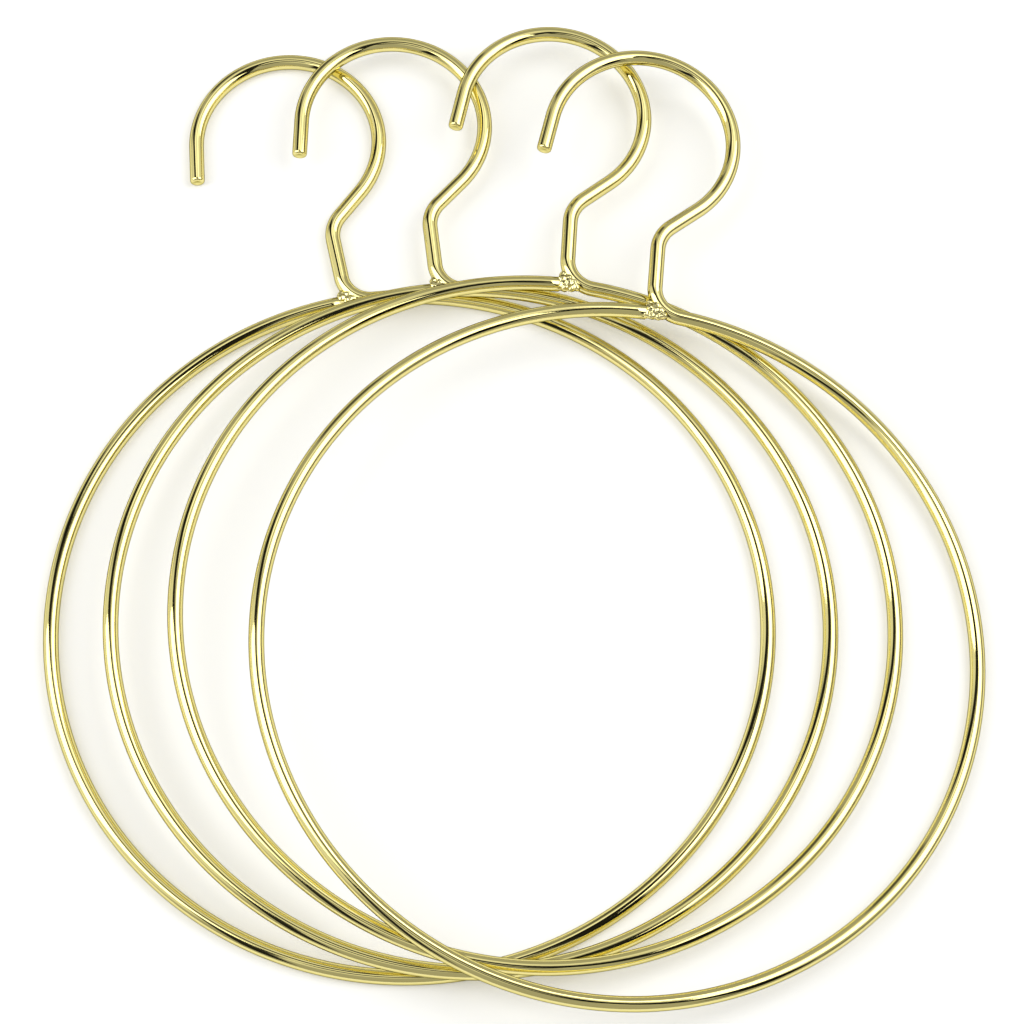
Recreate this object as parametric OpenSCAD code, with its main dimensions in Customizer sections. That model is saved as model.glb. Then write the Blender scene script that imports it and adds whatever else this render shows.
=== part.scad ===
// Set of scarf hangers, each one bent wire: a closed ring below a closet hook.
// The set lies fanned out on a table. The lowest hanger lies flat, and each of the
// others leans on the ring below it and touches the table with its own ring's edge.
// X runs across the set, Y along the hangers towards their hooks, Z up from the table.
// The origin is on the table, under the middle of the set's outline.

/* [Wire] */
// Diameter of the round wire
wire_d = 4; // [3:0.1:6]

/* [Ring] */
// Outside diameter of the closed ring
ring_outer_d = 190; // [150:1:230]
// Sideways place of the shank's middle, counted from the ring's middle
shank_x = 2; // [0.5:0.1:6]
// Radius, on the wire's middle line, of the bend from the ring up into the shank
base_bend_r = 8; // [6:0.1:12]

/* [Hook] */
// Straight length of the shank, between the base bend and the neck bend
shank_len = 11.3; // [6:0.1:40]
// Radius, on the wire's middle line, of the neck bend
neck_bend_r = 9; // [6:0.1:15]
// Angle of the neck bend, away from the shank
neck_angle = 49; // [40:0.5:60]
// Straight length between the neck bend and the hook
neck_len = 9; // [4:0.1:20]
// Inside diameter of the hook, which takes a closet rod
hook_inner_d = 46; // [36:0.5:56]
// Angle that the wire turns round the rod
hook_wrap = 220; // [200:1:235]
// Straight length of the hook's free end, up to the start of its rounded tip
tip_len = 8.7; // [4:0.1:20]

/* [Weld] */
// Thickness of the weld, a little under the wire's, so that a hanger lies on its wire
weld_t = 3.8; // [3:0.1:3.9]
// Length of the weld along the ring
weld_len = 6.8; // [4.5:0.1:9]
// Length of the weld that covers the ring's cut end
weld_lap = 1.1; // [0.5:0.1:2]
// Place of the weld's middle line outside the ring's, towards the hook
weld_out = 0.5; // [0:0.1:1.5]

/* [Fan] */
// Step to the right from each ring's middle to the next one's, lowest hanger first
step_x = [16.3, 17, 21.1]; // [8:0.1:40]
// Step towards the hooks from each ring's middle to the next one's
step_y = [0.3, 0.4, -9.4]; // [-12:0.1:12]
// Clockwise lean of each hanger, lowest hanger first
lean = [-12.3, -7.1, 3.6, 4.7]; // [-15:0.1:15]
// Clearance between two wires where they cross
lay_gap = 0.5; // [0.4:0.05:0.8]

/* [Hidden] */
$fn = 96;

wire_r = wire_d / 2;
ring_r = ring_outer_d / 2 - wire_r;
hook_r = hook_inner_d / 2 + wire_r;
// Radius that the ball at the end of each run has over the wire's own
joint_swell = 0.05;
full_turn = 360;
quarter_turn = 90;

// Angle from the ring's top, clockwise, at which the base bend leaves the ring
base_angle = asin((shank_x + base_bend_r) / (ring_r + base_bend_r));

// Height of one wire's middle line over the next where they cross
lay_pitch = wire_d + lay_gap;

hangers = [0 : len(lean) - 1];

weld_r = weld_t / 2;
weld_line_r = ring_r + weld_out;
// Angles from the ring's top, clockwise, at which the weld's round ends have their middles
weld_first = asin((weld_r - weld_lap) / weld_line_r);
weld_last = asin((weld_len - weld_lap - weld_r) / weld_line_r);

plated_gold = "#d9cd86";
weld_gold = "#e8dfa6";

// Middle of a hanger's ring, seen from above and counted from the lowest hanger's
function ring_middle(i) =
    i == 0 ? [0, 0] : ring_middle(i - 1) + [step_x[i - 1], step_y[i - 1]];

// Height of a plane at a point seen from above. A plane is [height at 0,0, rise along X, rise along Y]
function height_at(plane, point) = plane[0] + plane[1] * point.x + plane[2] * point.y;

// Plane of a hanger's middle line. It passes over the two places where the ring crosses
// the ring below, one lay pitch up, and its lowest point is a wire's radius off the table
function resting_plane(i) =
    i == 0 ? [wire_r, 0, 0] :
    let (
        below = resting_plane(i - 1),
        middle = ring_middle(i),
        apart = middle - ring_middle(i - 1),
        along = apart / norm(apart),
        across = [-along.y, along.x],
        half_chord = sqrt(ring_r ^ 2 - norm(apart) ^ 2 / 4),
        upper_crossing = middle - apart / 2 + half_chord * across,
        lower_crossing = middle - apart / 2 - half_chord * across,
        upper_z = height_at(below, upper_crossing) + lay_pitch,
        lower_z = height_at(below, lower_crossing) + lay_pitch,
        rise_across = (upper_z - lower_z) / (2 * half_chord),
        reach = middle - lower_crossing,
        lift = lower_z + rise_across * (reach * across) - wire_r,
        // The ring's lowest point is the root of a square equation in the rise along the step
        square = ring_r ^ 2 - (reach * along) ^ 2,
        linear = -2 * lift * (reach * along),
        constant = (ring_r * rise_across) ^ 2 - lift ^ 2,
        rise_along = (-linear - sqrt(linear ^ 2 - 4 * square * constant)) / (2 * square),
        slope = rise_across * across + rise_along * along
    )
    [lower_z - slope * lower_crossing, slope.x, slope.y];

// Turns about X and Y that tip a hanger into its resting plane
function tilt(i) =
    let (plane = resting_plane(i), about_y = -atan(plane[1]))
    [atan(plane[2] * cos(about_y)), about_y];

// Direction that a hanger's flat side faces
function facing(i) =
    let (turn = tilt(i))
    [cos(turn.x) * sin(turn.y), -sin(turn.x), cos(turn.x) * cos(turn.y)];

// Half the width of a tilted ring or hook along X or Y, from its middle line's radius
function half_span(radius, i, axis) = radius * sqrt(1 - facing(i)[axis] ^ 2) + wire_r;

// Middle of the hook in a hanger's own frame, where the ring's middle is the origin
neck_start = [shank_x, (ring_r + base_bend_r) * cos(base_angle) + shank_len];
neck_end = neck_start + neck_bend_r * [1 - cos(neck_angle), sin(neck_angle)];
hook_start = neck_end + neck_len * [sin(neck_angle), cos(neck_angle)];
hook_middle = hook_start + hook_r * [-cos(neck_angle), sin(neck_angle)];

// Place of the hook's middle in the fan along Y
function hook_middle_y(i) =
    let (turned = hook_middle.y * cos(lean[i]) - hook_middle.x * sin(lean[i]))
    ring_middle(i).y + turned * cos(tilt(i).x);

left_edge = min([for (i = hangers) ring_middle(i).x - half_span(ring_r, i, 0)]);
right_edge = max([for (i = hangers) ring_middle(i).x + half_span(ring_r, i, 0)]);
near_edge = min([for (i = hangers) ring_middle(i).y - half_span(ring_r, i, 1)]);
far_edge = max([for (i = hangers) hook_middle_y(i) + half_span(hook_r, i, 1)]);
fan_middle = [(left_edge + right_edge) / 2, (near_edge + far_edge) / 2];

// Ball at the end of a run of wire, a hair wider than the wire, so that the next run overlaps
// it and the two are one solid
module run_end(r = wire_r) {
    rotate([0, quarter_turn, 0]) sphere(r = r + joint_swell);
}

// Straight wire along X, then whatever follows it
module straight(length) {
    rotate([0, quarter_turn, 0]) cylinder(h = length, r = wire_r);
    translate([length, 0, 0]) {
        run_end();
        children();
    }
}

// Wire bent to the left by an angle, then whatever follows it
module bend_left(radius, angle) {
    translate([0, radius, 0]) {
        rotate([0, 0, -quarter_turn])
            rotate_extrude(angle = angle) translate([radius, 0]) circle(r = wire_r);
        rotate([0, 0, angle]) translate([0, -radius, 0]) {
            run_end();
            children();
        }
    }
}

// Wire bent to the right by an angle, then whatever follows it
module bend_right(radius, angle) {
    mirror([0, 1, 0]) bend_left(radius, angle) mirror([0, 1, 0]) children();
}

// One hanger's wire, bent from the ring's cut end round to the hook's rounded tip
module bent_wire() {
    translate([0, ring_r, 0]) rotate([0, 0, 2 * quarter_turn])
        bend_left(ring_r, full_turn - base_angle)
        bend_right(base_bend_r, quarter_turn - base_angle)
        straight(shank_len)
        bend_right(neck_bend_r, neck_angle)
        straight(neck_len)
        bend_left(hook_r, hook_wrap)
        straight(tip_len);
}

// The weld: a short bead that fills the wedge between the ring's cut end and the base bend. It is
// fused into both
module weld_bead() {
    rotate([0, 0, quarter_turn - weld_last])
        rotate_extrude(angle = weld_last - weld_first) translate([weld_line_r, 0]) circle(r = weld_r);
    for (place = [weld_first, weld_last])
        rotate([0, 0, -place]) translate([0, weld_line_r, 0]) run_end(weld_r);
}

// Lays a hanger in its place in the fan
module laid(i) {
    middle = ring_middle(i);
    turn = tilt(i);
    translate([middle.x - fan_middle.x, middle.y - fan_middle.y, height_at(resting_plane(i), middle)])
        rotate([turn.x, turn.y, 0]) rotate([0, 0, -lean[i]]) children();
}

// The wire of hanger i, counted from the lowest
module hanger_wire(i) {
    color(plated_gold) laid(i) bent_wire();
}

// The weld of hanger i, counted from the lowest
module hanger_weld(i) {
    color(weld_gold) laid(i) weld_bead();
}

for (i = hangers) {
    hanger_wire(i);
    hanger_weld(i);
}
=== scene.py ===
"""Looks of a set of scarf hangers, each one bent and plated wire, that lie fanned out on a table.

Lengths are written in millimetres and turned to metres where a mesh, lamp or camera is made.
X runs across the set, Y towards the hooks and Z up from the table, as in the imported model.
"""

import logging
import math
from dataclasses import dataclass, field
from enum import Enum

import bmesh
import bpy
from mathutils import Matrix, Vector


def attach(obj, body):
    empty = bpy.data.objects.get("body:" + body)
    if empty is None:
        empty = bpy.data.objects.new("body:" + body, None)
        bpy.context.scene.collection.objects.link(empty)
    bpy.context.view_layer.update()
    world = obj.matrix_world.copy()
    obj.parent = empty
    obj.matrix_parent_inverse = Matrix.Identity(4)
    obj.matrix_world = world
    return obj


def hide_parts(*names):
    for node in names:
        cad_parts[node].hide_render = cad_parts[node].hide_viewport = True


logging.basicConfig(level=logging.INFO, format="%(message)s")
log = logging.getLogger("scarf_hangers")

MM = 0.001

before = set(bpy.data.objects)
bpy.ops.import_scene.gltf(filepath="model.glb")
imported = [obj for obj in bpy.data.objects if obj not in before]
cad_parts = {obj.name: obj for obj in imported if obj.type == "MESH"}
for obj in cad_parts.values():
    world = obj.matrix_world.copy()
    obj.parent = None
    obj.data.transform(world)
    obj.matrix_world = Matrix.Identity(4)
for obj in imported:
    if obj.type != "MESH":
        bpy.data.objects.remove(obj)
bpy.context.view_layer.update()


class Turn(Enum):
    """Side that a wire bends to, as the sign of its turn about Z."""

    LEFT = 1
    RIGHT = -1


def linear_colour(code: str) -> tuple[float, float, float, float]:
    """Turns an sRGB hex colour to linear.

    Args:
        code: Colour as "#rrggbb".

    Returns:
        Linear red, green, blue and an alpha of 1.
    """
    shares = (int(code[k : k + 2], 16) / 255 for k in (1, 3, 5))
    red, green, blue = (s / 12.92 if s <= 0.04045 else ((s + 0.055) / 1.055) ** 2.4 for s in shares)
    return red, green, blue, 1.0


def add_node(
    tree: bpy.types.NodeTree, kind: str, settings: dict | None = None, links: dict | None = None
) -> bpy.types.Node:
    """Adds a node to a tree with its settings and links.

    Args:
        tree: Node tree that gets the node.
        kind: Type name of the node.
        settings: Values by name, for an input socket of that name or number, or else for a property.
        links: Output sockets by the name or number of the input that each one feeds.

    Returns:
        The new node.
    """
    node = tree.nodes.new(kind)
    for name, value in (settings or {}).items():
        if isinstance(name, int) or name in node.inputs:
            node.inputs[name].default_value = value
        else:
            setattr(node, name, value)
    for name, output in (links or {}).items():
        tree.links.new(output, node.inputs[name])
    return node


def new_material(name: str) -> tuple[bpy.types.Material, bpy.types.NodeTree]:
    """Makes an empty material with nodes.

    Args:
        name: Name of the material.

    Returns:
        The material and its emptied node tree.
    """
    material = bpy.data.materials.new(name)
    material.use_nodes = True
    material.node_tree.nodes.clear()
    return material, material.node_tree


@dataclass(frozen=True)
class ChampagneGoldPlating:
    """Polished, electroplated champagne gold on drawn steel wire."""

    name: str = "champagne_gold_plated_steel"
    colour: str = "#eee298"
    # Painted dark reflection: what the metal reflects at a glance is set darker than face on, a painted
    # shade which draws the wire's edges
    painted_dark_edge_colour: str = "#2e2608"
    roughness: float = 0.035
    # Length of the wire's gentle waves, which drawing and bending leave, and their height
    wave_mm: float = 9.0
    wave_height_mm: float = 0.02
    # Size of the dimples in the plating. Real ones are finer and are drawn as coarse as they show
    dimple_mm: float = 0.9
    dimple_height_mm: float = 0.002
    # Roughness that the dullest patches of the plating have
    dull_roughness: float = 0.06
    dull_patch_mm: float = 14.0

    def material(self) -> bpy.types.Material:
        """Makes the material, a mirror that is a little uneven, as plating on wire is.

        Returns:
            The material.
        """
        material, tree = new_material(self.name)
        place = add_node(tree, "ShaderNodeTexCoord")
        waves = add_node(
            tree, "ShaderNodeTexNoise",
            {"Scale": 1 / (self.wave_mm * MM), "Detail": 1.0}, {"Vector": place.outputs["Object"]},
        )
        dimples = add_node(
            tree, "ShaderNodeTexNoise",
            {"Scale": 1 / (self.dimple_mm * MM), "Detail": 2.0}, {"Vector": place.outputs["Object"]},
        )
        patches = add_node(
            tree, "ShaderNodeTexNoise",
            {"Scale": 1 / (self.dull_patch_mm * MM), "Detail": 3.0}, {"Vector": place.outputs["Object"]},
        )
        # Most of the noise lies between 0.35 and 0.7
        roughness = add_node(
            tree, "ShaderNodeMapRange",
            {"From Min": 0.35, "From Max": 0.7, "To Min": self.roughness, "To Max": self.dull_roughness},
            {"Value": patches.outputs["Fac"]},
        )
        waved = add_node(
            tree, "ShaderNodeBump",
            {"Strength": 1.0, "Distance": self.wave_height_mm * MM}, {"Height": waves.outputs["Fac"]},
        )
        dimpled = add_node(
            tree, "ShaderNodeBump",
            {"Strength": 1.0, "Distance": self.dimple_height_mm * MM},
            {"Height": dimples.outputs["Fac"], "Normal": waved.outputs["Normal"]},
        )
        metal = add_node(
            tree, "ShaderNodeBsdfPrincipled",
            {
                "Base Color": linear_colour(self.colour), "Metallic": 1.0,
                # Edge tint that paints a dark reflection along the wire's edges
                "Specular Tint": linear_colour(self.painted_dark_edge_colour),
            },
            {"Roughness": roughness.outputs["Result"], "Normal": dimpled.outputs["Normal"]},
        )
        add_node(tree, "ShaderNodeOutputMaterial", links={"Surface": metal.outputs["BSDF"]})
        return material


@dataclass(frozen=True)
class PlatedWeldMetal:
    """The same plating over a bead of weld, whose ripples glint in all directions."""

    name: str = "champagne_gold_plated_weld"
    colour: str = "#f0e5a2"
    # Painted dark reflection at the weld's edges, the same as on the wire
    painted_dark_edge_colour: str = "#2e2608"
    roughness: float = 0.12
    # Width and height of the small ripples that the weld sets in
    ripple_mm: float = 1.3
    ripple_height_mm: float = 0.07

    def material(self) -> bpy.types.Material:
        """Makes the material, which shows as broken bright facets.

        Returns:
            The material.
        """
        material, tree = new_material(self.name)
        place = add_node(tree, "ShaderNodeTexCoord")
        ripples = add_node(
            tree, "ShaderNodeTexNoise",
            {"Scale": 1 / (self.ripple_mm * MM), "Detail": 1.0, "Distortion": 0.6},
            {"Vector": place.outputs["Object"]},
        )
        bumped = add_node(
            tree, "ShaderNodeBump",
            {"Strength": 1.0, "Distance": self.ripple_height_mm * MM}, {"Height": ripples.outputs["Fac"]},
        )
        metal = add_node(
            tree, "ShaderNodeBsdfPrincipled",
            {
                "Base Color": linear_colour(self.colour), "Metallic": 1.0, "Roughness": self.roughness,
                # Edge tint that paints a dark reflection along the weld's edges
                "Specular Tint": linear_colour(self.painted_dark_edge_colour),
            },
            {"Normal": bumped.outputs["Normal"]},
        )
        add_node(tree, "ShaderNodeOutputMaterial", links={"Surface": metal.outputs["BSDF"]})
        return material


@dataclass
class WireBender:
    """Draws a round wire through straight runs and bends, all in one plane.

    It works in a hanger's own frame, in millimetres, with the wire's middle line at Z 0.
    """

    wire_r: float
    start: tuple[float, float]
    heading_deg: float
    sides: int = 40
    mesh: bmesh.types.BMesh = field(init=False)
    at: Vector = field(init=False)
    heading: Vector = field(init=False)
    end_edges: list = field(init=False)

    def __post_init__(self) -> None:
        """Stands the wire's first cross-section at the start."""
        self.mesh = bmesh.new()
        turn = math.radians(self.heading_deg)
        self.at = Vector((*self.start, 0))
        self.heading = Vector((math.cos(turn), math.sin(turn), 0))
        upright = Matrix.Rotation(turn, 4, "Z") @ Matrix.Rotation(math.radians(90), 4, "Y")
        made = bmesh.ops.create_circle(
            self.mesh, segments=self.sides, radius=self.wire_r, cap_ends=False,
            matrix=Matrix.Translation(self.at) @ upright,
        )
        self.end_edges = list({edge for vert in made["verts"] for edge in vert.link_edges})

    def straight(self, length: float) -> None:
        """Draws a straight run.

        Args:
            length: Length of the run.
        """
        self.end_edges = self._push(self.end_edges, self.heading * length, 1.0)
        self.at += self.heading * length

    def bend(self, turn: Turn, radius: float, angle_deg: float, step_deg: float = 4.0) -> None:
        """Draws a bend.

        Args:
            turn: Side that the wire bends to.
            radius: Radius on the wire's middle line.
            angle_deg: Angle that the wire turns through.
            step_deg: Angle of each facet along the bend.
        """
        angle = turn.value * math.radians(angle_deg)
        to_left = Vector((-self.heading.y, self.heading.x, 0))
        centre = self.at + to_left * turn.value * radius
        verts = {vert for edge in self.end_edges for vert in edge.verts}
        spun = bmesh.ops.spin(
            self.mesh, geom=[*verts, *self.end_edges], cent=centre, axis=(0, 0, 1), angle=angle,
            steps=math.ceil(angle_deg / step_deg), use_merge=False, use_duplicate=False,
        )
        self.end_edges = [part for part in spun["geom_last"] if isinstance(part, bmesh.types.BMEdge)]
        turned = Matrix.Rotation(angle, 3, "Z")
        self.at = centre + turned @ (self.at - centre)
        self.heading = turned @ self.heading

    def close_end(self, edges: list, outward: Vector, profile: list[tuple[float, float]]) -> None:
        """Closes an end of the wire with a turned profile.

        Args:
            edges: Edges of the open cross-section.
            outward: Direction that the end faces.
            profile: Reach and radius of each step, ending on the axis.
        """
        reach, radius = 0.0, self.wire_r
        for next_reach, next_radius in profile[:-1]:
            edges = self._push(edges, outward * (next_reach - reach), next_radius / radius)
            reach, radius = next_reach, next_radius
        # The last cross-section is merged to one point on the axis, whatever its size
        edges = self._push(edges, outward * (profile[-1][0] - reach), 0.5)
        verts = list({vert for edge in edges for vert in edge.verts})
        middle = sum((vert.co for vert in verts), Vector()) / len(verts)
        bmesh.ops.pointmerge(self.mesh, verts=verts, merge_co=middle)

    def _push(self, edges: list, step: Vector, grow: float) -> list:
        """Extrudes a cross-section, moves it and resizes it.

        Args:
            edges: Edges of the cross-section.
            step: Way that it moves.
            grow: Share of its radius that it gets.

        Returns:
            The new cross-section's edges.
        """
        pushed = bmesh.ops.extrude_edge_only(self.mesh, edges=edges)["geom"]
        verts = [part for part in pushed if isinstance(part, bmesh.types.BMVert)]
        bmesh.ops.translate(self.mesh, verts=verts, vec=step)
        middle = sum((vert.co for vert in verts), Vector()) / len(verts)
        bmesh.ops.scale(self.mesh, verts=verts, vec=(grow,) * 3, space=Matrix.Translation(-middle))
        return [part for part in pushed if isinstance(part, bmesh.types.BMEdge)]


@dataclass
class BentWire:
    """One hanger's wire: a closed ring, a shank that rises from its top, and a closet hook."""

    wire_d: float = 4.0
    ring_outer_d: float = 190.0
    shank_x: float = 2.0
    base_bend_r: float = 8.0
    shank_len: float = 11.3
    neck_bend_r: float = 9.0
    neck_angle: float = 49.0
    neck_len: float = 9.0
    hook_inner_d: float = 46.0
    hook_wrap: float = 220.0
    tip_len: float = 8.7
    # Reach of the hook's tip past the end of the straight run
    tip_reach: float = 0.9
    # Bevel round the ring's cut end, which the weld covers
    cut_bevel: float = 0.1
    # Angle of each facet along the ring and the hook
    ring_step_deg: float = 1.5
    hook_step_deg: float = 2.5

    @property
    def wire_r(self) -> float:
        """Radius of the wire."""
        return self.wire_d / 2

    @property
    def ring_r(self) -> float:
        """Radius of the ring's middle line."""
        return self.ring_outer_d / 2 - self.wire_r

    def mesh(self) -> bmesh.types.BMesh:
        """Bends the wire, from the ring's cut end round to the hook's tip.

        Returns:
            Mesh in the hanger's own frame, in millimetres.
        """
        base_sine = (self.shank_x + self.base_bend_r) / (self.ring_r + self.base_bend_r)
        base_angle = math.degrees(math.asin(base_sine))
        wire = WireBender(self.wire_r, start=(0, self.ring_r), heading_deg=180)
        cut_end = list(wire.end_edges)
        wire.bend(Turn.LEFT, self.ring_r, 360 - base_angle, self.ring_step_deg)
        wire.bend(Turn.RIGHT, self.base_bend_r, 90 - base_angle)
        wire.straight(self.shank_len)
        wire.bend(Turn.RIGHT, self.neck_bend_r, self.neck_angle)
        wire.straight(self.neck_len)
        wire.bend(Turn.LEFT, self.hook_inner_d / 2 + self.wire_r, self.hook_wrap, self.hook_step_deg)
        wire.straight(self.tip_len + self.wire_r - self.tip_reach)
        wire.close_end(wire.end_edges, wire.heading, self.tip_profile())
        flat_end = [(self.cut_bevel, self.wire_r - self.cut_bevel), (self.cut_bevel, 0.0)]
        wire.close_end(cut_end, Vector((1, 0, 0)), flat_end)
        return wire.mesh

    def tip_profile(self) -> list[tuple[float, float]]:
        """Shapes the tip, which has a rounded rim and a slight hollow.

        Returns:
            Reach and radius of each step over the tip, ending on the axis.
        """
        # Shares of the tip's reach and of the wire's radius
        shape = (
            (0.12, 0.998), (0.36, 0.98), (0.6, 0.94), (0.8, 0.87), (0.93, 0.78),
            (1.0, 0.66), (0.98, 0.52), (0.9, 0.36), (0.83, 0.18), (0.8, 0.0),
        )
        return [(reach * self.tip_reach, share * self.wire_r) for reach, share in shape]


@dataclass
class WeldBead:
    """The lumps of weld between the ring's cut end and the base bend."""

    ring_r: float
    # Place of each lump along the ring, outside it and up, and its radius
    lumps: tuple[tuple[float, float, float, float], ...] = (
        (0.0, -0.5, 0.35, 1.5), (1.7, -0.9, 0.5, 1.25), (0.9, 1.0, 0.6, 1.55), (2.6, 0.3, 0.8, 1.55),
        (3.3, -1.0, 0.5, 1.15), (4.7, -0.5, 0.6, 1.3), (1.0, 2.5, 0.4, 1.2), (2.5, 1.8, 0.8, 1.25),
        (1.5, 0.0, -0.2, 1.75), (3.6, 0.0, -0.25, 1.65), (3.9, 0.6, 0.7, 1.3),
    )
    # Size of the facets of the skin that the lumps melt into
    skin_mm: float = 0.12
    # Width and height of the wrinkles that the melt leaves
    wrinkle_mm: float = 1.5
    wrinkle_height_mm: float = 0.55

    def mesh(self) -> bmesh.types.BMesh:
        """Heaps the lumps along the ring.

        Returns:
            Mesh in the hanger's own frame, in millimetres.
        """
        bead = bmesh.new()
        for along, out, up, radius in self.lumps:
            turn = Matrix.Rotation(-along / self.ring_r, 4, "Z")
            place = turn @ Matrix.Translation((0, self.ring_r + out, up))
            bmesh.ops.create_icosphere(bead, subdivisions=3, radius=radius, matrix=place)
        return bead

    def dress(self, piece: bpy.types.Object) -> None:
        """Melts the lumps into one skin.

        Args:
            piece: The bead's object.
        """
        skin = piece.modifiers.new("one_skin", "REMESH")
        skin.mode = "VOXEL"
        skin.voxel_size = self.skin_mm * MM
        skin.use_smooth_shade = True
        melt = piece.modifiers.new("melted", "SMOOTH")
        melt.factor = 0.5
        melt.iterations = 3
        name = "weld_wrinkles"
        wrinkles = bpy.data.textures.get(name) or bpy.data.textures.new(name, "CLOUDS")
        wrinkles.noise_scale = self.wrinkle_mm * MM
        wrinkles.noise_depth = 1
        wrinkled = piece.modifiers.new("wrinkled", "DISPLACE")
        wrinkled.texture = wrinkles
        wrinkled.texture_coords = "LOCAL"
        # Over the noise's middle, so that the wrinkles sink more than they swell
        wrinkled.mid_level = 0.6
        wrinkled.strength = self.wrinkle_height_mm * MM


@dataclass
class ScarfHanger:
    """One hanger of the set, laid in its place in the fan."""

    number: int
    # Middle of the ring
    middle: tuple[float, float, float]
    # Rise of the hanger's plane along X and along Y
    slope: tuple[float, float]
    # Clockwise lean, seen from above
    lean_deg: float
    wire: BentWire = field(default_factory=BentWire)

    def place(self) -> Matrix:
        """Works out where the hanger lies.

        Returns:
            Turn and shift from the hanger's own frame to its place, with millimetres made metres.
        """
        about_y = -math.atan(self.slope[0])
        about_x = math.atan(self.slope[1] * math.cos(about_y))
        return (
            Matrix.Scale(MM, 4) @ Matrix.Translation(self.middle)
            @ Matrix.Rotation(about_y, 4, "Y") @ Matrix.Rotation(about_x, 4, "X")
            @ Matrix.Rotation(math.radians(-self.lean_deg), 4, "Z")
        )

    def build(self, plating: bpy.types.Material, weld_metal: bpy.types.Material) -> None:
        """Builds the wire and the weld, and hands them to the frame.

        Args:
            plating: Material of the wire.
            weld_metal: Material of the weld.
        """
        bead = WeldBead(self.wire.ring_r)
        wire = self._piece("bent_wire", self.wire.mesh(), plating)
        weld = self._piece("weld_bead", bead.mesh(), weld_metal)
        bead.dress(weld)
        for piece, part in ((wire, "wire"), (weld, "weld")):
            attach(piece, f"hanger_{self.number}")
            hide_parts(f"hanger_{self.number}_{part}")

    def _piece(self, name: str, mesh: bmesh.types.BMesh, material: bpy.types.Material) -> bpy.types.Object:
        """Makes an object of a mesh, with its place in its vertices.

        Args:
            name: Name of the piece, to which the hanger's number is added.
            mesh: Mesh in the hanger's own frame, in millimetres, which is freed.
            material: Material that the piece gets.

        Returns:
            The object.
        """
        bmesh.ops.transform(mesh, matrix=self.place(), verts=mesh.verts)
        bmesh.ops.recalc_face_normals(mesh, faces=mesh.faces)
        for face in mesh.faces:
            face.smooth = True
        data = bpy.data.meshes.new(f"{name}_{self.number}")
        mesh.to_mesh(data)
        mesh.free()
        data.materials.append(material)
        piece = bpy.data.objects.new(data.name, data)
        bpy.context.collection.objects.link(piece)
        log.info("%s: %d faces", piece.name, len(data.polygons))
        return piece


@dataclass
class HangerFan:
    """The whole set, fanned out. Each hanger but the lowest leans on the ring below it.

    The steps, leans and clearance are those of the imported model.
    """

    # Middle of the lowest hanger's ring, with the origin under the middle of the whole set
    first_middle: tuple[float, float] = (-26.93, -33.69)
    # Step from each ring's middle to the next one's, to the right and towards the hooks
    steps: tuple[tuple[float, float], ...] = ((16.3, 0.3), (17.0, 0.4), (21.1, -9.4))
    # Clockwise lean of each hanger, seen from above, lowest hanger first
    leans_deg: tuple[float, ...] = (-12.3, -7.1, 3.6, 4.7)
    # Clearance between two wires where they cross
    lay_gap: float = 0.5
    wire: BentWire = field(default_factory=BentWire)

    def build(self) -> None:
        """Builds every hanger in the two finishes."""
        plating = ChampagneGoldPlating().material()
        weld_metal = PlatedWeldMetal().material()
        for hanger in self.hangers():
            hanger.build(plating, weld_metal)

    def hangers(self) -> list[ScarfHanger]:
        """Lays the hangers out, with places to 0.01 mm.

        Returns:
            The hangers, lowest first.
        """
        x, y = self.first_middle
        height, slope = self.wire.wire_r, (0.0, 0.0)
        laid = [ScarfHanger(1, (x, y, height), slope, self.leans_deg[0], self.wire)]
        for step, lean_deg in zip(self.steps, self.leans_deg[1:]):
            x, y = x + step[0], y + step[1]
            height, slope = self._leaning(height, slope, step)
            middle = (round(x, 2), round(y, 2), round(height, 2))
            rises = (round(slope[0], 5), round(slope[1], 5))
            laid.append(ScarfHanger(len(laid) + 1, middle, rises, lean_deg, self.wire))
        return laid

    def _leaning(
        self, height: float, slope: tuple[float, float], step: tuple[float, float]
    ) -> tuple[float, tuple[float, float]]:
        """Works out the plane of a ring that leans on the one below and touches the table.

        Args:
            height: Height of the ring below, at its middle.
            slope: Rise of its plane along X and along Y.
            step: Step from its middle to this ring's.

        Returns:
            Height of this ring at its middle, and the rise of its plane along X and along Y.
        """
        ring_r, wire_r = self.wire.ring_r, self.wire.wire_r
        apart = math.hypot(*step)
        along_x, along_y = step[0] / apart, step[1] / apart
        # The rings cross half a step on, at both ends of a chord that both of them have
        half_chord = math.sqrt(ring_r**2 - apart**2 / 4)
        chord_height = height + (slope[0] * step[0] + slope[1] * step[1]) / 2 + 2 * wire_r + self.lay_gap
        rise_across = slope[1] * along_x - slope[0] * along_y
        # The ring's lowest point is on the table. That makes the rise along the step the root of
        # a square equation
        lift = chord_height - wire_r
        constant = (ring_r * rise_across) ** 2 - lift**2
        root = math.sqrt((lift * apart) ** 2 - 4 * half_chord**2 * constant)
        rise_along = (lift * apart - root) / (2 * half_chord**2)
        rise_x = rise_along * along_x - rise_across * along_y
        rise_y = rise_along * along_y + rise_across * along_x
        return chord_height + rise_along * apart / 2, (rise_x, rise_y)


def direction(azimuth_deg: float, from_zenith_deg: float) -> Vector:
    """Turns two angles to a direction.

    Args:
        azimuth_deg: Angle from +X, counterclockwise seen from above.
        from_zenith_deg: Angle from straight up.

    Returns:
        Unit vector.
    """
    azimuth, from_zenith = math.radians(azimuth_deg), math.radians(from_zenith_deg)
    aside = math.sin(from_zenith)
    return Vector((aside * math.cos(azimuth), aside * math.sin(azimuth), math.cos(from_zenith)))


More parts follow.
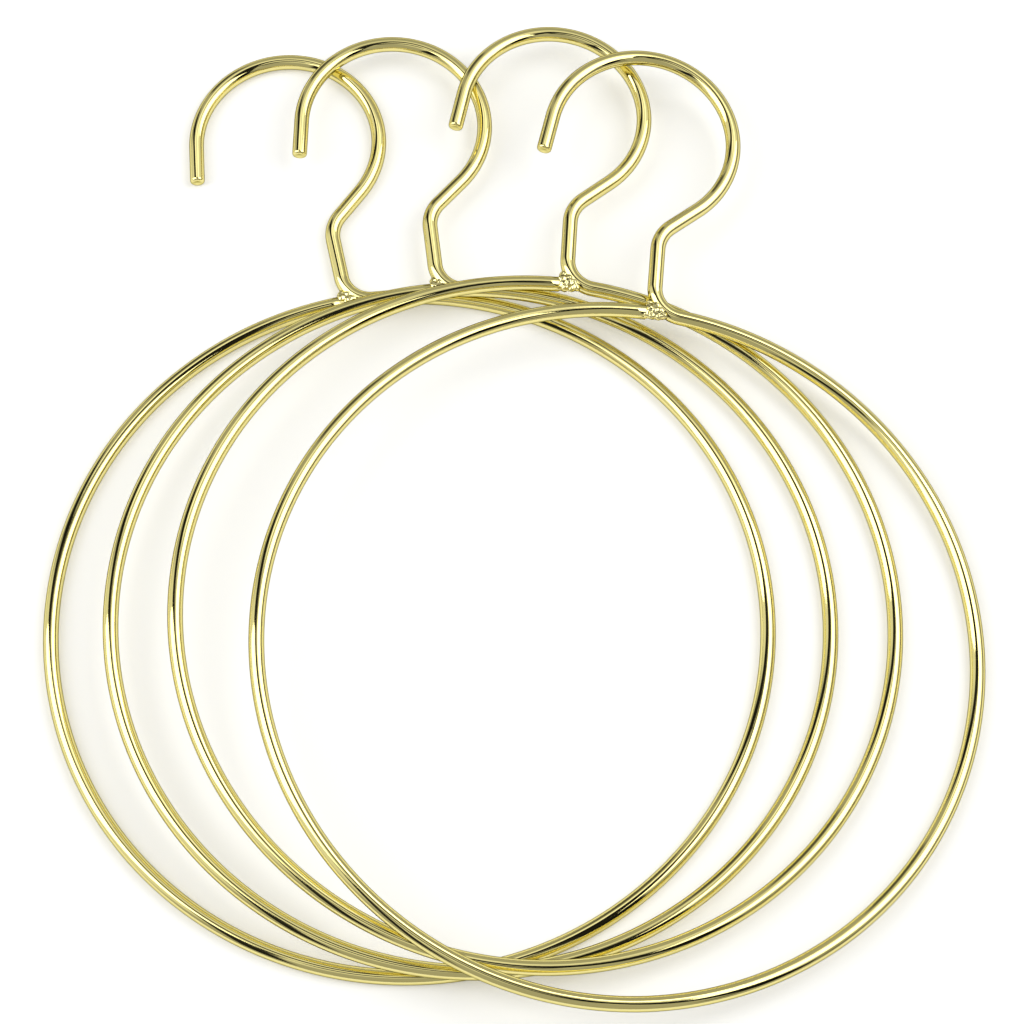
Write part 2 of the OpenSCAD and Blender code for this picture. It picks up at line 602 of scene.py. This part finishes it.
@dataclass(frozen=True)
class Softbox:
    """A softbox that faces the middle of the set.

    Its place is given by the direction it lies in, seen from the set.
    """

    name: str
    azimuth_deg: float
    from_zenith_deg: float
    width_m: float
    height_m: float
    # Brightness of its cloth, where 1 is white
    brightness: float
    distance_m: float = 1.1

    def hang(self) -> None:
        """Hangs the softbox as an area lamp."""
        way = direction(self.azimuth_deg, self.from_zenith_deg)
        lamp = bpy.data.lights.new(self.name, "AREA")
        lamp.shape = "RECTANGLE"
        lamp.size, lamp.size_y = self.width_m, self.height_m
        lamp.energy = self.brightness * math.pi * self.width_m * self.height_m
        box = bpy.data.objects.new(self.name, lamp)
        box.location = way * self.distance_m
        box.rotation_euler = (-way).to_track_quat("-Z", "Y").to_euler()
        bpy.context.collection.objects.link(box)


@dataclass(frozen=True)
class Flag:
    """A dark flag or a pale cloth in the studio, a band along a line of directions.

    The wires mirror a dark flag as a dark line, and a pale cloth as a paler band.
    """

    # Azimuth and angle from straight up of each point of the line
    line_deg: tuple[tuple[float, float], ...]
    half_width_deg: float
    # Share of the room's light that shows in the band, over 1 for a pale cloth
    shows: float
    # Width of the band's soft edge
    soft_deg: float = 2.5

    def shade(self, tree: bpy.types.NodeTree, looking: bpy.types.NodeSocket) -> list[bpy.types.NodeSocket]:
        """Adds the nodes that dim or lift the room inside the band.

        Args:
            tree: The world's node tree.
            looking: Direction looked in.

        Returns:
            Share of the room's light in that direction, one for each span of the line.
        """
        points = [direction(*point) for point in self.line_deg]
        return [self._span(tree, looking, first, last) for first, last in zip(points, points[1:])]

    def _span(
        self, tree: bpy.types.NodeTree, looking: bpy.types.NodeSocket, first: Vector, last: Vector
    ) -> bpy.types.NodeSocket:
        """Adds the nodes of one span.

        Args:
            tree: The world's node tree.
            looking: Direction looked in.
            first: Direction of the span's first end.
            last: Direction of its last end.

        Returns:
            Share of the room's light in the direction looked in.
        """
        middle, across = (first + last).normalized(), first.cross(last).normalized()
        half_length = math.degrees(first.angle(last)) / 2
        along_way = add_node(
            tree, "ShaderNodeVectorMath", {"operation": "DOT_PRODUCT", 1: middle}, {0: looking},
        )
        across_way = add_node(
            tree, "ShaderNodeVectorMath", {"operation": "DOT_PRODUCT", 1: across}, {0: looking},
        )
        aside = add_node(
            tree, "ShaderNodeMath", {"operation": "ABSOLUTE"}, {0: across_way.outputs["Value"]},
        )
        within_length = add_node(
            tree, "ShaderNodeMapRange",
            {
                "interpolation_type": "SMOOTHSTEP",
                "From Min": math.cos(math.radians(half_length + self.soft_deg)),
                "From Max": math.cos(math.radians(half_length)),
                "To Min": 0.0, "To Max": 1.0 - self.shows,
            },
            {"Value": along_way.outputs["Value"]},
        )
        within_width = add_node(
            tree, "ShaderNodeMapRange",
            {
                "interpolation_type": "SMOOTHSTEP",
                "From Min": math.sin(math.radians(max(self.half_width_deg - self.soft_deg / 2, 0))),
                "From Max": math.sin(math.radians(self.half_width_deg + self.soft_deg / 2)),
                "To Min": 1.0, "To Max": 0.0,
            },
            {"Value": aside.outputs["Value"]},
        )
        taken = add_node(
            tree, "ShaderNodeMath", {"operation": "MULTIPLY"},
            {0: within_length.outputs["Result"], 1: within_width.outputs["Result"]},
        )
        kept = add_node(
            tree, "ShaderNodeMath", {"operation": "SUBTRACT", 0: 1.0}, {1: taken.outputs["Value"]},
        )
        return kept.outputs["Value"]


@dataclass
class Studio:
    """Plain pale table, soft light from two sides, and the camera of the photograph."""

    room_light: float = 0.42
    table_colour: str = "#ebebea"
    # Distance from the table's middle to its edges
    table_reach_m: float = 6.0
    # Light that the table shows to the eye and to the metal beside what it reflects, so that it is white
    table_lift: float = 0.26
    softboxes: tuple[Softbox, ...] = (
        Softbox(
            "left_softbox", azimuth_deg=182, from_zenith_deg=44,
            width_m=0.66, height_m=1.1, brightness=2.1,
        ),
        Softbox(
            "right_softbox", azimuth_deg=10, from_zenith_deg=38,
            width_m=0.9, height_m=0.8, brightness=2.1,
        ),
    )
    # Pale cloth round and between the softboxes
    pale_cloths: tuple[Flag, ...] = (
        Flag(((184, 2), (184, 84)), half_width_deg=30.0, shows=2.0, soft_deg=12.0),
        Flag(((6, 12), (4, 70)), half_width_deg=32.0, shows=2.0, soft_deg=12.0),
        Flag(((112, 32), (48, 38)), half_width_deg=7.0, shows=2.0, soft_deg=6.0),
    )
    # The first runs from behind on the left, over the set, to the front on the right
    dark_flags: tuple[Flag, ...] = (
        Flag(
            ((139, 70), (141, 34), (122, 17), (74, 12), (20, 9), (339, 14), (318, 31), (314, 70)),
            half_width_deg=6.5, shows=0.02,
        ),
        Flag(((200, 17), (228, 41), (240, 72)), half_width_deg=6.0, shows=0.04),
        Flag(((298, 66), (330, 52), (352, 64)), half_width_deg=3.5, shows=0.2),
        Flag(((26, 77), (345, 80), (322, 70)), half_width_deg=5.0, shows=0.05),
        Flag(((112, 50), (122, 86)), half_width_deg=6.0, shows=0.25),
        Flag(((232, 16), (303, 20)), half_width_deg=5.0, shows=0.02),
    )
    # Point on the table that the camera aims at, its distance from there and its angle above the table
    camera_aim: tuple[float, float, float] = (-0.36, -1.84, 0.0)
    camera_distance: float = 870.8
    camera_elevation_deg: float = 69.43
    lens_mm: float = 116.2

    def build(self) -> None:
        """Lays the table, sets the light and stands the camera."""
        self._lay_table()
        self._light_room()
        for softbox in self.softboxes:
            softbox.hang()
        self._stand_camera()
        bpy.context.scene.view_settings.view_transform = "Standard"

    def _lay_table(self) -> None:
        """Lays a wide plain table whose lit part shows white, with the object's shadow kept."""
        material, tree = new_material("white_laminate_table")
        laminate = add_node(
            tree, "ShaderNodeBsdfPrincipled",
            {"Base Color": linear_colour(self.table_colour), "Roughness": 0.9, "Specular IOR Level": 0.0},
        )
        ray = add_node(tree, "ShaderNodeLightPath")
        seen = add_node(
            tree, "ShaderNodeMath", {"operation": "ADD"},
            {0: ray.outputs["Is Camera Ray"], 1: ray.outputs["Is Glossy Ray"]},
        )
        seen_or_through = add_node(
            tree, "ShaderNodeMath", {"operation": "ADD", "use_clamp": True},
            {0: seen.outputs["Value"], 1: ray.outputs["Is Transmission Ray"]},
        )
        lift = add_node(
            tree, "ShaderNodeMath", {"operation": "MULTIPLY", 1: self.table_lift},
            {0: seen_or_through.outputs["Value"]},
        )
        glow = add_node(
            tree, "ShaderNodeEmission", {"Color": (1, 1, 1, 1)}, {"Strength": lift.outputs["Value"]},
        )
        white = add_node(
            tree, "ShaderNodeAddShader", links={0: laminate.outputs["BSDF"], 1: glow.outputs["Emission"]},
        )
        add_node(tree, "ShaderNodeOutputMaterial", links={"Surface": white.outputs["Shader"]})
        top = bmesh.new()
        bmesh.ops.create_grid(top, x_segments=1, y_segments=1, size=self.table_reach_m)
        data = bpy.data.meshes.new("table")
        top.to_mesh(data)
        top.free()
        data.materials.append(material)
        table = bpy.data.objects.new("table", data)
        bpy.context.collection.objects.link(table)

    def _light_room(self) -> None:
        """Gives the room an even pale light, with the few dark things that the wires mirror."""
        world = bpy.data.worlds.new("studio_room")
        world.use_nodes = True
        tree = world.node_tree
        tree.nodes.clear()
        looking = add_node(tree, "ShaderNodeTexCoord")
        light = None
        for flag in (*self.pale_cloths, *self.dark_flags):
            for shown in flag.shade(tree, looking.outputs["Generated"]):
                light = shown if light is None else add_node(
                    tree, "ShaderNodeMath", {"operation": "MULTIPLY"}, {0: light, 1: shown},
                ).outputs["Value"]
        strength = add_node(
            tree, "ShaderNodeMath", {"operation": "MULTIPLY", 1: self.room_light}, {0: light},
        )
        room = add_node(
            tree, "ShaderNodeBackground", {"Color": (1, 1, 1, 1)}, {"Strength": strength.outputs["Value"]},
        )
        # To the eye the room is white, without the flags
        white = add_node(tree, "ShaderNodeBackground", {"Color": (1, 1, 1, 1), "Strength": 1.0})
        ray = add_node(tree, "ShaderNodeLightPath")
        backdrop = add_node(
            tree, "ShaderNodeMixShader", links={
                0: ray.outputs["Is Camera Ray"],
                1: room.outputs["Background"],
                2: white.outputs["Background"],
            },
        )
        add_node(tree, "ShaderNodeOutputWorld", links={"Surface": backdrop.outputs["Shader"]})
        bpy.context.scene.world = world

    def _stand_camera(self) -> None:
        """Stands the camera high in front of the set, at the photograph's angle."""
        lens = bpy.data.cameras.new("camera")
        lens.lens = self.lens_mm
        lens.sensor_width = 36.0
        lens.clip_start = 0.02
        lens.clip_end = 50.0
        camera = bpy.data.objects.new("camera", lens)
        elevation = math.radians(self.camera_elevation_deg)
        back = Vector((0, -math.cos(elevation), math.sin(elevation))) * self.camera_distance
        camera.location = (Vector(self.camera_aim) + back) * MM
        camera.rotation_euler = (math.pi / 2 - elevation, 0, 0)
        bpy.context.collection.objects.link(camera)
        bpy.context.scene.camera = camera


def main() -> None:
    """Builds the fan and the studio."""
    HangerFan().build()
    Studio().build()


if __name__ == "__main__":
    main()
